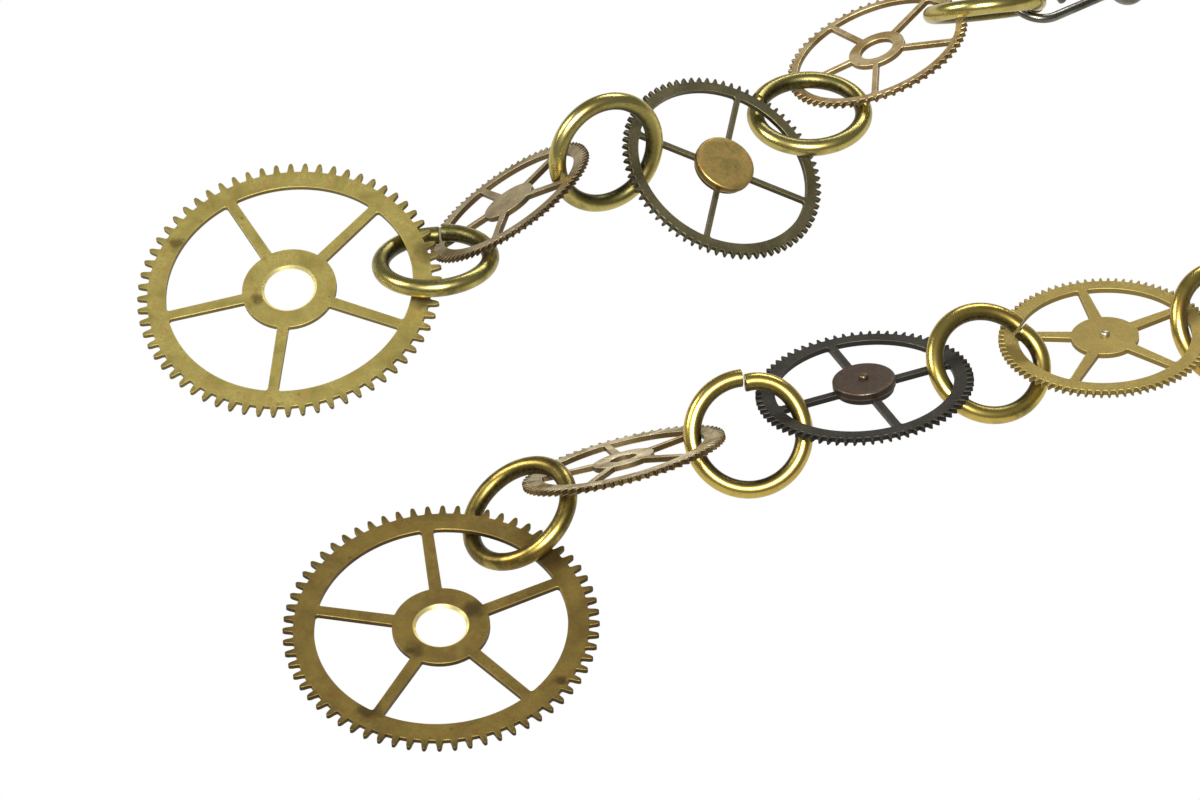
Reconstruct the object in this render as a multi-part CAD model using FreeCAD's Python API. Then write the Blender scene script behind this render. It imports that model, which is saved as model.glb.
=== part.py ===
"""A pair of drop earrings made of watch wheels and cut jump rings, lying on a table.

Each earring is a chain: ear wire, jump ring 4, wheel 4, jump ring 3, wheel 3, jump ring 2, wheel 2,
jump ring 1, big wheel. Every piece is placed from the piece it is linked to, so the chain stays
linked when a size changes. Units are millimetres, +Z is up and the table is z = 0.
"""
import FreeCAD, Part
import math
import os

from FreeCAD import Vector

# --- driving dimensions: jump rings ---------------------------------------------------------------
ring_outside_diameter = 8.0
ring_wire_diameter = 1.1
ring_cut_width = 0.12

# --- driving dimensions: wheels -------------------------------------------------------------------
big_wheel_diameter = 19.2
front_wheel_2_diameter = 12.8
rear_wheel_2_diameter = 11.8
wheel_3_diameter = 13.5
front_wheel_4_diameter = 13.2
rear_wheel_4_diameter = 12.2
sheet_thickness = 0.36
tooth_width_share = 0.52         # of the tooth pitch, at the root
tooth_shoulder_share = 0.8       # of the root width, where the flank meets the rounded tip
tooth_shoulder_height_share = 0.55
hole_chamfer = 0.1

# --- driving dimensions: hub parts ----------------------------------------------------------------
disc_thickness = 0.5
disc_edge_round = 0.15
pivot_diameter = 0.6
pivot_stand_out = 0.3
pivot_tip_round = 0.2

# --- driving dimensions: ear wires ----------------------------------------------------------------
ear_wire_diameter = 0.6
ear_loop_inside_diameter = 2.6
ear_loop_sweep = 290.0           # degrees of wire in the loop, which leaves a small opening
ear_stem_length = 11.0
ear_hook_diameter = 10.0
ear_hook_sweep = 184.0
ear_tail_length = 11.0
ear_tail_end_round = 0.2
ball_diameter = 2.6
ball_from_loop = 6.2

# --- named clearances -----------------------------------------------------------------------------
link_clearance = 0.1             # between a ring's wire and the edge it hangs on

ring_wire_radius = ring_wire_diameter / 2
ring_centre_radius = (ring_outside_diameter - ring_wire_diameter) / 2
ear_wire_radius = ear_wire_diameter / 2
ear_loop_radius = ear_loop_inside_diameter / 2 + ear_wire_radius
pivot_radius = pivot_diameter / 2

# Wheels: rim, hub and hole are shares of the tip radius, tooth height is a share of the pitch.
# The spin turns the first spoke away from heading 0.
wheel_sizes = {
    "front_big_wheel": dict(
        diameter=big_wheel_diameter, teeth=64, tooth_height=0.68, rim_inside=0.80, hub=0.31,
        hole=0.16, spokes=5, spoke_at_hub=0.78, spoke_at_rim=0.72, corner=0.22, spin=25),
    "rear_big_wheel": dict(
        diameter=big_wheel_diameter, teeth=64, tooth_height=0.68, rim_inside=0.81, hub=0.31,
        hole=0.165, spokes=5, spoke_at_hub=0.72, spoke_at_rim=0.66, corner=0.22, spin=-25),
    "front_wheel_2": dict(
        diameter=front_wheel_2_diameter, teeth=70, tooth_height=0.70, rim_inside=0.80, hub=0.30,
        hole=0.13, spokes=5, spoke_at_hub=0.46, spoke_at_rim=0.38, corner=0.25, spin=34),
    "rear_wheel_2": dict(
        diameter=rear_wheel_2_diameter, teeth=80, tooth_height=0.70, rim_inside=0.83, hub=0.30,
        hole=0, spokes=5, spoke_at_hub=0.5, spoke_at_rim=0.42, corner=0.35, spin=-23),
    "front_wheel_3": dict(
        diameter=wheel_3_diameter, teeth=75, tooth_height=0.72, rim_inside=0.82, hub=0.27,
        hole=0, spokes=4, spoke_at_hub=0.5, spoke_at_rim=0.5, corner=0.15, spin=21),
    "rear_wheel_3": dict(
        diameter=wheel_3_diameter, teeth=75, tooth_height=0.62, rim_inside=0.85, hub=0.27,
        hole=0, spokes=4, spoke_at_hub=0.34, spoke_at_rim=0.34, corner=0.15, spin=-9),
    "front_wheel_4": dict(
        diameter=front_wheel_4_diameter, teeth=84, tooth_height=0.72, rim_inside=0.815, hub=0.32,
        hole=0, spokes=5, spoke_at_hub=0.74, spoke_at_rim=0.56, corner=0.4, spin=31),
    "rear_wheel_4": dict(
        diameter=rear_wheel_4_diameter, teeth=64, tooth_height=0.46, rim_inside=0.885, hub=0.308,
        hole=0.18, spokes=5, spoke_at_hub=0.36, spoke_at_rim=0.36, corner=0.4, spin=-19),
}

# Wheels with a disc on the hub, as a share of the wheel's tip radius, and wheels with a pivot.
disc_shares = {"front_wheel_3": 0.29, "rear_wheel_3": 0.29}
wheels_with_pivot = ["front_wheel_3", "front_wheel_4"]

# How the chain lies on the table, from the big wheel to the ear wire. Each piece leans over by an
# angle, towards a heading counted from +X. In a link, the ring's wire passes through the wheel on
# one heading round the wheel, and the wheel sits on the ring on one heading round the ring. The
# third value is the wire's share of room beside the rim: more than 1 where the wire slants.
chains = {
    "front": dict(
        start=Vector(0, 0, 0),
        pieces=["big_wheel", "jump_ring_1", "wheel_2", "jump_ring_2", "wheel_3", "jump_ring_3",
                "wheel_4", "jump_ring_4", "ear_wire"],
        leans=[(4, -120), (31, -168), (36, 115), (40, -81), (16, 111), (29, -55), (12, 102),
               (41, -46), (6, 15)],
        links=[(52, -106, 1.85), (-149, 18, 1.55), (16, -171, 1.05), (-144, 21, 1.05),
               (3, -152, 1.35), (-153, 14, 1.35), (10, -162, 1.0), (-165, 44, 1.55)],
        ring_cuts={"jump_ring_1": 130, "jump_ring_2": 97, "jump_ring_3": 54, "jump_ring_4": -60},
        ring_offsets={"jump_ring_1": 0.1, "jump_ring_2": 0.2, "jump_ring_3": 0.5,
                      "jump_ring_4": 0.1},
        ear_wire_heading=15, hook_side=-1),
    "rear": dict(
        start=Vector(-9.8, 27.7, 0),
        pieces=["big_wheel", "jump_ring_1", "wheel_2", "jump_ring_2", "wheel_3", "jump_ring_3",
                "wheel_4", "jump_ring_4", "ear_wire"],
        leans=[(12, -119), (15, 104), (39, 150), (73, -61), (24, -26), (5, 100), (24, 150),
               (46, 99), (7, 38)],
        links=[(18, -190, 2.6), (-140, 53, 2.05), (-9, -142, 1.5), (-168, -4, 1.2),
               (44, -132, 1.4), (-132, 57, 2.3), (34, -173, 1.45), (-142, 9, 1.55)],
        ring_cuts={"jump_ring_1": -60, "jump_ring_2": -90, "jump_ring_3": -50,
                   "jump_ring_4": -90},
        ring_offsets={"jump_ring_1": 0.1, "jump_ring_2": 0.1, "jump_ring_3": 0.1,
                      "jump_ring_4": 0.1},
        ear_wire_heading=38, hook_side=1),
}


# --- headings and rotations -----------------------------------------------------------------------

def outward(heading):
    """Level unit vector on a heading in degrees."""
    angle = math.radians(heading)
    return Vector(math.cos(angle), math.sin(angle), 0)


def sideways(heading):
    """Level unit vector a quarter turn on from a heading: the tangent of a circle there."""
    return outward(heading + 90)


def leaned(lean, towards):
    """Rotation that leans a flat piece over, so that its upper face looks towards a heading."""
    return FreeCAD.Rotation(sideways(towards), lean)


def polar(radius, degrees):
    """Point on a circle round the origin."""
    return outward(degrees) * radius


# --- wheels ---------------------------------------------------------------------------------------

def tip_radius(size):
    return size["diameter"] / 2


def rim_inside_radius(size):
    return tip_radius(size) * size["rim_inside"]


def toothed_disc(size):
    """Flat disc with rounded teeth, its mid-plane on z = 0."""
    tip = tip_radius(size)
    pitch = 2 * math.pi * tip / size["teeth"]
    root = tip - size["tooth_height"] * pitch
    shoulder = root + (tip - root) * tooth_shoulder_height_share
    step = 360 / size["teeth"]
    half_root = step * tooth_width_share / 2
    half_shoulder = half_root * tooth_shoulder_share
    edges = []
    for number in range(size["teeth"]):
        middle = number * step
        foot = polar(root, middle - half_root)
        rise = polar(shoulder, middle - half_shoulder)
        top = polar(tip, middle)
        fall = polar(shoulder, middle + half_shoulder)
        heel = polar(root, middle + half_root)
        gap = polar(root, middle + step / 2)
        next_foot = polar(root, middle + step - half_root)
        edges.append(Part.makeLine(foot, rise))
        edges.append(Part.Arc(rise, top, fall).toShape())
        edges.append(Part.makeLine(fall, heel))
        edges.append(Part.Arc(heel, gap, next_foot).toShape())
    face = Part.Face(Part.Wire(edges))
    face.translate(Vector(0, 0, -sheet_thickness / 2))
    return face.extrude(Vector(0, 0, sheet_thickness))


def spoke_bar(size, heading):
    """Tapered bar from the hub to the rim, a little longer at both ends."""
    hub = tip_radius(size) * size["hub"]
    rim = rim_inside_radius(size)
    height = 2 * sheet_thickness
    half_hub = size["spoke_at_hub"] / 2
    half_rim = size["spoke_at_rim"] / 2
    corners = [
        Vector(0, -half_hub, 0),
        Vector(hub, -half_hub, 0),
        Vector(rim, -half_rim, 0),
        Vector(rim * 1.1, -half_rim, 0),
        Vector(rim * 1.1, half_rim, 0),
        Vector(rim, half_rim, 0),
        Vector(hub, half_hub, 0),
        Vector(0, half_hub, 0),
    ]
    bar = Part.Face(Part.makePolygon(corners + corners[:1])).extrude(Vector(0, 0, height))
    bar.translate(Vector(0, 0, -height / 2))
    bar.rotate(Vector(0, 0, 0), Vector(0, 0, 1), heading)
    return bar


def upright_edges(solid):
    """Straight edges of a solid that run along Z."""
    found = []
    for edge in solid.Edges:
        if len(edge.Vertexes) != 2:
            continue
        run = edge.Vertexes[1].Point - edge.Vertexes[0].Point
        if abs(run.z) > 0.99 * run.Length:
            found.append(edge)
    return found


def windows(size):
    """The openings between the spokes, with rounded corners, as solids to cut away."""
    hub = tip_radius(size) * size["hub"]
    rim = rim_inside_radius(size)
    height = 1.5 * sheet_thickness
    base = Vector(0, 0, -height / 2)
    band = Part.makeCylinder(rim, height, base).cut(Part.makeCylinder(hub, height, base))
    step = 360 / size["spokes"]
    for number in range(size["spokes"]):
        band = band.cut(spoke_bar(size, size["spin"] + number * step))
    return [piece.makeFillet(size["corner"], upright_edges(piece)) for piece in band.Solids]


def hole_cutter(radius, chamfer):
    """Round hole through the sheet, with both mouths chamfered."""
    half = sheet_thickness / 2
    cutter = Part.makeCylinder(radius, 3 * half, Vector(0, 0, -1.5 * half))
    if chamfer > 0:
        reach = 2 * chamfer
        for side in (1, -1):
            mouth = Part.makeCone(
                radius, radius + reach, reach,
                Vector(0, 0, side * (half - chamfer)), Vector(0, 0, side))
            cutter = cutter.fuse(mouth)
    return cutter


def wheel(name):
    """Toothed wheel, lying flat with its centre at the origin."""
    size = wheel_sizes[name]
    body = toothed_disc(size)
    for window in windows(size):
        body = body.cut(window)
    if size["hole"]:
        body = body.cut(hole_cutter(tip_radius(size) * size["hole"], hole_chamfer))
    if name in wheels_with_pivot:
        body = body.cut(hole_cutter(pivot_radius, 0))
    return body.Solids[0]


def wheel_top(name):
    """Height of the top face of the stack on a wheel's hub."""
    return sheet_thickness / 2 + (disc_thickness if name in disc_shares else 0)


def hub_disc(name):
    """Solid disc that lies on the wheel's hub, with a rounded upper edge."""
    radius = tip_radius(wheel_sizes[name]) * disc_shares[name]
    base = sheet_thickness / 2
    disc = Part.makeCylinder(radius, disc_thickness, Vector(0, 0, base))
    top_edges = []
    for edge in disc.Edges:
        if edge.Closed and abs(edge.BoundBox.ZMin - base - disc_thickness) < 0.001:
            top_edges.append(edge)
    disc = disc.makeFillet(disc_edge_round, top_edges)
    if name in wheels_with_pivot:
        disc = disc.cut(Part.makeCylinder(pivot_radius, 4 * disc_thickness, Vector(0, 0, -disc_thickness)))
    return disc.Solids[0]


def pivot(name):
    """Short pin riveted through the hub, with both tips rounded."""
    bottom = -sheet_thickness / 2 - pivot_stand_out / 2
    length = wheel_top(name) + pivot_stand_out - bottom
    pin = Part.makeCylinder(pivot_radius, length, Vector(0, 0, bottom))
    tips = [edge for edge in pin.Edges if edge.Closed and edge.BoundBox.ZLength < 0.001]
    return pin.makeFillet(pivot_tip_round, tips)


# --- jump rings -----------------------------------------------------------------------------------

def ring_rise(heading, cut_heading, offset):
    """Height of the wire's centre: a cut ring climbs from one end of its wire to the other."""
    turned = (heading - cut_heading) % 360
    return offset * (turned / 360 - 0.5)


def jump_ring(cut_heading, offset):
    """Round wire bent into a ring, with its cut on one heading and its ends offset along Z."""
    cut_angle = math.degrees(ring_cut_width / ring_centre_radius)
    swept = 360 - cut_angle
    height = offset * swept / 360
    path = Part.makeHelix(offset, height, ring_centre_radius)
    start = Vector(ring_centre_radius, 0, 0)
    profile = Part.Wire(Part.makeCircle(ring_wire_radius, start, Vector(0, 1, 0)))
    ring = Part.Wire(path.Edges).makePipeShell([profile], True, True)
    ring.translate(Vector(0, 0, -height / 2))
    ring.rotate(Vector(0, 0, 0), Vector(0, 0, 1), cut_heading + cut_angle / 2)
    return ring.Solids[0]


# --- ear wires ------------------------------------------------------------------------------------

def ear_wire_points(side):
    """Corner points of the ear wire's path: loop round the origin, stem along +X, hook and tail."""
    loop_start = polar(ear_loop_radius, side * (-90 - ear_loop_sweep))
    loop_middle = polar(ear_loop_radius, side * (-90 - ear_loop_sweep / 2))
    stem_start = polar(ear_loop_radius, side * -90)
    stem_end = stem_start + Vector(ear_stem_length, 0, 0)
    hook_centre = stem_end + Vector(0, side * ear_hook_diameter / 2, 0)
    hook_middle = hook_centre + polar(ear_hook_diameter / 2, side * (-90 + ear_hook_sweep / 2))
    tail_start = hook_centre + polar(ear_hook_diameter / 2, side * (-90 + ear_hook_sweep))
    tail_end = tail_start + outward(side * ear_hook_sweep) * ear_tail_length
    return loop_start, loop_middle, stem_start, stem_end, hook_middle, tail_start, tail_end


def ear_wire(side):
    """Hook for the ear, flat on z = 0, with the centre of its loop at the origin."""
    points = ear_wire_points(side)
    loop_start, loop_middle, stem_start, stem_end, hook_middle, tail_start, tail_end = points
    path = Part.Wire([
        Part.Arc(loop_start, loop_middle, stem_start).toShape(),
        Part.makeLine(stem_start, stem_end),
        Part.Arc(stem_end, hook_middle, tail_start).toShape(),
        Part.makeLine(tail_start, tail_end),
    ])
    along = sideways(side * (-90 - ear_loop_sweep)) * side
    profile = Part.Wire(Part.makeCircle(ear_wire_radius, loop_start, along))
    wire = path.makePipeShell([profile], True, False).Solids[0]
    end_edges = []
    for edge in wire.Edges:
        if edge.Closed and (edge.BoundBox.Center - tail_end).Length < 0.01:
            end_edges.append(edge)
    return wire.makeFillet(ear_tail_end_round, end_edges)


def ear_wire_ball(side):
    """Round bead pressed on the stem."""
    centre = polar(ear_loop_radius, side * -90) + Vector(ball_from_loop, 0, 0)
    bead = Part.makeSphere(ball_diameter / 2, centre)
    start = centre - Vector(ball_diameter, 0, 0)
    return bead.cut(Part.makeCylinder(ear_wire_radius, 2 * ball_diameter, start, Vector(1, 0, 0)))


# --- placing the chain ----------------------------------------------------------------------------

class Placed:
    """One link of a chain: its name, its kind, its rotation and its centre."""

    def __init__(self, strand, piece, lean, chain):
        self.node = strand + "_" + piece
        self.piece = piece
        self.rotation = leaned(*lean)
        self.centre = Vector(0, 0, 0)
        self.cut = chain["ring_cuts"].get(piece)
        self.offset = chain["ring_offsets"].get(piece)

    def is_ring(self):
        return self.cut is not None

    def wire_point(self, heading):
        """Point on a ring's wire, from the ring's centre."""
        level = outward(heading) * ring_centre_radius
        rise = Vector(0, 0, ring_rise(heading, self.cut, self.offset))
        return self.rotation.multVec(level + rise)

    def hanging_point(self, heading, room_share):
        """Where a ring's wire crosses this wheel or ear loop, from its centre.

        The room share is 1 for a wire that stands square to the wheel. A wire that slants through
        the window needs more room beside the rim.
        """
        if self.piece == "ear_wire":
            edge = ear_loop_radius
            room = ear_wire_radius + ring_wire_radius + link_clearance
        else:
            edge = rim_inside_radius(wheel_sizes[self.node])
            room = ring_wire_radius + link_clearance
        radius = edge - room_share * room
        return self.rotation.multVec(outward(heading) * radius)


def place_chain(strand):
    """Place every link of one earring, and list its joints from the ear wire down."""
    chain = chains[strand]
    placed = [Placed(strand, piece, lean, chain)
              for piece, lean in zip(chain["pieces"], chain["leans"])]
    placed[0].centre = chain["start"]
    joints = []
    for index, (round_wheel, round_ring, room_share) in enumerate(chain["links"]):
        near, far = placed[index], placed[index + 1]
        ring, holder = (near, far) if near.is_ring() else (far, near)
        on_ring = ring.wire_point(round_ring)
        on_holder = holder.hanging_point(round_wheel, room_share)
        if near is ring:
            far.centre = near.centre + on_ring - on_holder
        else:
            far.centre = near.centre + on_holder - on_ring
        # The piece nearer the big wheel hangs on the piece nearer the ear.
        if near is ring:
            axis = holder.rotation.multVec(sideways(round_wheel))
        else:
            axis = ring.rotation.multVec(sideways(round_ring))
        joints.append(dict(parent=far, child=near, ring=ring, on_ring=on_ring, axis=axis))
    return placed, joints


def own_shapes(link, chain):
    """The solids of one link in its own frame, by node name."""
    if link.is_ring():
        return {link.node: jump_ring(link.cut, link.offset)}
    if link.piece == "ear_wire":
        side = chain["hook_side"]
        shapes = {link.node: ear_wire(side), link.node + "_ball": ear_wire_ball(side)}
        for shape in shapes.values():
            shape.rotate(Vector(0, 0, 0), Vector(0, 0, 1), chain["ear_wire_heading"])
        return shapes
    shapes = {link.node: wheel(link.node)}
    if link.node in disc_shares:
        shapes[link.node + "_disc"] = hub_disc(link.node)
    if link.node in wheels_with_pivot:
        shapes[link.node + "_pivot"] = pivot(link.node)
    return shapes


def mesh_points(shapes):
    """Surface points of many solids, close enough to find their extents."""
    points = []
    for shape in shapes:
        points.extend(shape.tessellate(0.01)[0])
    return points


def build():
    """All nodes where they lie, with the chains they came from."""
    nodes = {}
    strands = {}
    for strand, chain in chains.items():
        placed, joints = place_chain(strand)
        own = {}
        for link in placed:
            for node, shape in own_shapes(link, chain).items():
                shape.Placement = FreeCAD.Placement(link.centre, link.rotation).multiply(
                    shape.Placement)
                own[node] = shape
        drop = Vector(0, 0, -min(point.z for point in mesh_points(own.values())))
        for shape in own.values():
            shape.translate(drop)
        for link in placed:
            link.centre = link.centre + drop
        nodes.update(own)
        strands[strand] = (placed, joints)
    # The origin is on the table, under the middle of everything.
    points = mesh_points(nodes.values())
    shift = Vector(
        -(min(point.x for point in points) + max(point.x for point in points)) / 2,
        -(min(point.y for point in points) + max(point.y for point in points)) / 2,
        0)
    for shape in nodes.values():
        shape.translate(shift)
    for placed, joints in strands.values():
        for link in placed:
            link.centre = link.centre + shift
    return nodes, strands


nodes, strands = build()
os.makedirs("parts", exist_ok=True)
for node, shape in nodes.items():
    shape.exportStep(os.path.join("parts", node + ".step"))
    box = shape.BoundBox
    print(node, "solids", len(shape.Solids), "valid", shape.isValid(), "size",
          round(box.XLength, 2), round(box.YLength, 2), round(box.ZLength, 2))
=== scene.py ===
# %% [markdown]
# # A pair of drop earrings made of watch wheels
#
# Each earring is a chain that lies on a white table: a big toothed wheel, then three smaller
# wheels, with a cut jump ring between neighbours and an ear wire at the far end. Every link hangs
# loosely in the next one.
#
# This lesson builds what the eye sees. The sizes and places were settled in CAD, and the packed
# CAD model is loaded first as a fixed frame. Each new piece is made lying flat, in millimetres,
# and is then laid exactly where its CAD node lies.

import math

import bmesh
import bpy
from mathutils import Matrix, Vector


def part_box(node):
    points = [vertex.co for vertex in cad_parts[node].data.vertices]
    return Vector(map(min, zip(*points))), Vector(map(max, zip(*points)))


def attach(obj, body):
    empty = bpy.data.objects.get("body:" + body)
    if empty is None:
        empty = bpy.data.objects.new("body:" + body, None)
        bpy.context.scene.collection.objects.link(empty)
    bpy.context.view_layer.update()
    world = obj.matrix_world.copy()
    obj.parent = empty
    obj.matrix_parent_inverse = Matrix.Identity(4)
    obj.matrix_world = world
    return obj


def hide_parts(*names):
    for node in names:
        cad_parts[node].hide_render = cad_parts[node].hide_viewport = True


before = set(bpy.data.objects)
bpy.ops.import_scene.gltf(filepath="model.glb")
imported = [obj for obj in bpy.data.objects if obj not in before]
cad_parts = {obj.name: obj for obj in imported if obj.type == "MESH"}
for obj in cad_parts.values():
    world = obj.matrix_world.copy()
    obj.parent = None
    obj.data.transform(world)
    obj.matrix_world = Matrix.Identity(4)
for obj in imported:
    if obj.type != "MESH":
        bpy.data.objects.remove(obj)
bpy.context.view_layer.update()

# %% [markdown]
# ## How the links lie
#
# A thrown-down chain has no two links at the same angle. Each link leans over by some degrees
# towards a heading, counted from the X axis. The lean is the same as in the CAD source, and the
# place is read from the CAD node, so the two models can't drift apart.

# %% Leans of the links, in degrees, each with the heading it leans towards
millimetre = 0.001
leans = {
    "front_big_wheel": (4, -120), "front_jump_ring_1": (31, -168), "front_wheel_2": (36, 115),
    "front_jump_ring_2": (40, -81), "front_wheel_3": (16, 111), "front_jump_ring_3": (29, -55),
    "front_wheel_4": (12, 102), "front_jump_ring_4": (41, -46), "front_ear_wire": (6, 15),
    "rear_big_wheel": (12, -119), "rear_jump_ring_1": (15, 104), "rear_wheel_2": (39, 150),
    "rear_jump_ring_2": (73, -61), "rear_wheel_3": (24, -26), "rear_jump_ring_3": (5, 100),
    "rear_wheel_4": (24, 150), "rear_jump_ring_4": (46, 99), "rear_ear_wire": (7, 38),
}


def box_middle(points):
    """Middle and size of the box round some points."""
    low = Vector(map(min, zip(*points)))
    high = Vector(map(max, zip(*points)))
    return (low + high) / 2, high - low


def leaned(link):
    """Turn that leans a flat link over."""
    lean, towards = leans[link]
    side = math.radians(towards + 90)
    return Matrix.Rotation(math.radians(lean), 4, Vector((math.cos(side), math.sin(side), 0)))


def lay_in_place(mesh, node, link):
    """Moves a mesh made flat, in millimetres, to where its CAD node lies. Returns the misfit."""
    turn = leaned(link)
    back = turn.inverted()
    cad_points = [back @ v.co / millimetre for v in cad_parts[node].data.vertices]
    cad_middle, cad_size = box_middle(cad_points)
    middle, size = box_middle([v.co for v in mesh.vertices])
    mesh.transform(Matrix.Scale(millimetre, 4) @ turn @ Matrix.Translation(cad_middle - middle))
    return max(abs(a - b) for a, b in zip(size, cad_size))


# %% [markdown]
# ## A helper for node trees
#
# Geometry and shader trees are both made of nodes with sockets. One small class adds a node, sets
# what it needs and wires it up in a single line, so that the trees below can be read as formulas.

# %% The node helper
class Nodes:
    """Adds nodes to a tree. A socket value may be a number, a colour, a node or another socket."""

    def __init__(self, name, kind, inputs, outputs):
        self.tree = bpy.data.node_groups.new(name, kind)
        for socket, kind_of, start in inputs:
            made = self.tree.interface.new_socket(
                name=socket, in_out="INPUT", socket_type="NodeSocket" + kind_of)
            if start is not None:
                made.default_value = start
        for socket, kind_of in outputs:
            self.tree.interface.new_socket(
                name=socket, in_out="OUTPUT", socket_type="NodeSocket" + kind_of)
        self.start = self.add("NodeGroupInput").outputs

    def add(self, kind, wires=None, **settings):
        node = self.tree.nodes.new(kind)
        for key, value in settings.items():
            setattr(node, key, value)
        for key, value in (wires or {}).items():
            self.wire(node.inputs[key], value)
        return node

    def wire(self, socket, value):
        if isinstance(value, bpy.types.Node):
            value = next(s for s in value.outputs if s.enabled)
        if isinstance(value, bpy.types.NodeSocket):
            self.tree.links.new(value, socket)
        else:
            socket.default_value = value

    def math(self, operation, *values, clamp=False):
        return self.add("ShaderNodeMath", dict(enumerate(values)), operation=operation,
                        use_clamp=clamp)

    def vector(self, operation, *values):
        return self.add("ShaderNodeVectorMath", dict(enumerate(values)), operation=operation)

    def point(self, x, y, z):
        return self.add("ShaderNodeCombineXYZ", {0: x, 1: y, 2: z})

    def blend(self, share, low, high):
        """A number between low and high."""
        return self.add("ShaderNodeMix", {0: share, 2: low, 3: high}, data_type="FLOAT")

    def tint(self, share, below, above, way="MIX"):
        """A colour between two colours."""
        node = self.add("ShaderNodeMix", {0: share, 6: below, 7: above}, data_type="RGBA",
                        blend_type=way)
        return node.outputs[2]

    def finish(self, **results):
        end = self.add("NodeGroupOutput")
        for key, value in results.items():
            self.wire(end.inputs[key.replace("_", " ")], value)
        return self.tree


class Finish(Nodes):
    """The same helper for the tree inside a material."""

    def __init__(self, name):
        self.material = bpy.data.materials.new(name)
        self.material.use_nodes = True
        self.tree = self.material.node_tree
        self.tree.nodes.clear()
        self.place = self.add("ShaderNodeAttribute", attribute_name="place").outputs["Vector"]

    def group(self, tree, **wires):
        node = self.add("ShaderNodeGroup", node_tree=tree)
        for key, value in wires.items():
            self.wire(node.inputs[key.replace("_", " ")], value)
        return node

    def close(self, **wires):
        """Adds the metal's shader and ends the tree."""
        shader = self.add("ShaderNodeBsdfPrincipled")
        for key, value in wires.items():
            self.wire(shader.inputs[key.replace("_", " ")], value)
        self.add("ShaderNodeOutputMaterial", {"Surface": shader.outputs[0]})
        return self.material


# %% [markdown]
# ## The toothed wheel as a rule
#
# A watch wheel is stamped and cut from thin brass sheet: a ring of fine teeth, a few spokes and a
# hub. Eight wheels with 64 to 84 teeth each would be tedious to draw, but every one follows the
# same rule with other numbers. Geometry Nodes is made for that.
#
# The tree draws closed curves lying flat: the toothed outline, one window that is repeated
# between the spokes, and the hole. A short profile is swept along each curve and makes the cut
# edge with its small chamfers. The curves, drawn in by the chamfer, are filled to make the two
# faces.

# %% The wheel's outline, windows and faces
tooth_shoulder = 0.62            # height where the flank turns into the tip, share of the tooth
tooth_half_shoulder = 0.18       # half widths as shares of the tooth pitch
tooth_half_root = 0.245
tip_bluntness = 3.0              # the power of the curve that rounds the tip
root_rounding = 0.3
window_points = 96


def open_profile(n, half_height, chamfer, inwards):
    """Cut edge of the sheet in section: chamfer, wall, chamfer."""
    inset = n.math("MULTIPLY", chamfer, inwards)
    low = n.math("SUBTRACT", half_height, chamfer)
    quad = n.add("GeometryNodeCurvePrimitiveQuadrilateral", mode="POINTS")
    corners = [(inset, half_height), (0.0, low), (0.0, n.math("MULTIPLY", low, -1.0)),
               (inset, n.math("MULTIPLY", half_height, -1.0))]
    for socket, (x, y) in zip(["Point 1", "Point 2", "Point 3", "Point 4"], corners):
        n.wire(quad.inputs[socket], n.point(x, y, 0.0))
    return n.add("GeometryNodeSetSplineCyclic", {"Geometry": quad, "Cyclic": False})


def drawn_in(n, curve, chamfer, inwards):
    """The curve moved into the metal by the chamfer."""
    normal = n.add("GeometryNodeInputNormal")
    inset = n.math("MULTIPLY", chamfer, inwards)
    step = n.add("ShaderNodeVectorMath", {0: normal, "Scale": inset}, operation="SCALE")
    return n.add("GeometryNodeSetPosition", {"Geometry": curve, "Offset": step})


def toothed_outline(n, size):
    samples = size["Points per Tooth"]
    count = n.math("MULTIPLY", size["Teeth"], samples)
    index = n.add("GeometryNodeInputIndex")
    tooth_turn = n.math("DIVIDE", index, samples)
    phase = n.math("SUBTRACT", n.math("FRACT", n.math("ADD", tooth_turn, 0.5)), 0.5)
    away = n.math("ABSOLUTE", phase)
    round_tip = n.math("POWER", n.math("DIVIDE", away, tooth_half_shoulder),
                       tip_bluntness)
    tip = n.math("SUBTRACT", 1.0, n.math("MULTIPLY", round_tip, 1.0 - tooth_shoulder))
    slope = tooth_shoulder / (tooth_half_root - tooth_half_shoulder)
    flank = n.math("MULTIPLY", n.math("SUBTRACT", tooth_half_root, away), slope)
    height = n.math("SMOOTH_MAX", n.math("MINIMUM", tip, flank), 0.0, root_rounding)
    radius = n.blend(height, size["Root Radius"], size["Tip Radius"])
    angle = n.math("MULTIPLY", n.math("DIVIDE", tooth_turn, size["Teeth"]), math.tau)
    circle = n.add("GeometryNodeCurvePrimitiveCircle", {"Resolution": count, "Radius": 1.0})
    spot = n.point(n.math("MULTIPLY", radius, n.math("COSINE", angle)),
                   n.math("MULTIPLY", radius, n.math("SINE", angle)), 0.0)
    return n.add("GeometryNodeSetPosition", {"Geometry": circle, "Position": spot})


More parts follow.
